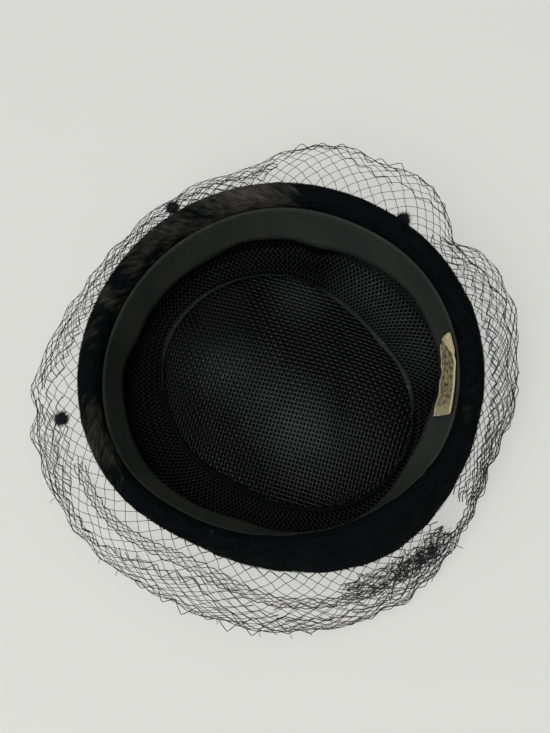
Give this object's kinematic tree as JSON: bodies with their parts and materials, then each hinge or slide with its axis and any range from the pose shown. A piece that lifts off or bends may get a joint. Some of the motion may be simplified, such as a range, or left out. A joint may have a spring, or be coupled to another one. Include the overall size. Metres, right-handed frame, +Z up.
{
  "type": "pillbox hat",
  "caption": "Velvet pillbox hat with a rolled edge, grosgrain sweatband, net lining and a puffed net veil, lying open on its flat crown.",
  "frame": {"origin": "centre of the crown's flat face, which the hat rests on", "axes": "+Z up out of the head opening, +X towards the label on the sweatband"},
  "size_m": [0.256, 0.2562, 0.064],
  "materials": {
    "velvet": "black velvet with a long brushed nap",
    "grosgrain": "matt ribbed ribbon",
    "lining_net": "stiff open net of glossy threads",
    "woven_label": "bare woven ribbon",
    "veiling": "fine diamond net",
    "chenille": "fuzzy chenille"
  },
  "bodies": {
    "root": {"crown_shell": "velvet", "sweatband": "grosgrain", "lining_side": "lining_net", "lining_tip": "lining_net", "label": "woven_label", "veil": "veiling", "veil_gather": "veiling", "veil_dot_1": "chenille", "veil_dot_2": "chenille", "veil_dot_3": "chenille"}
  },
  "joints": []
}
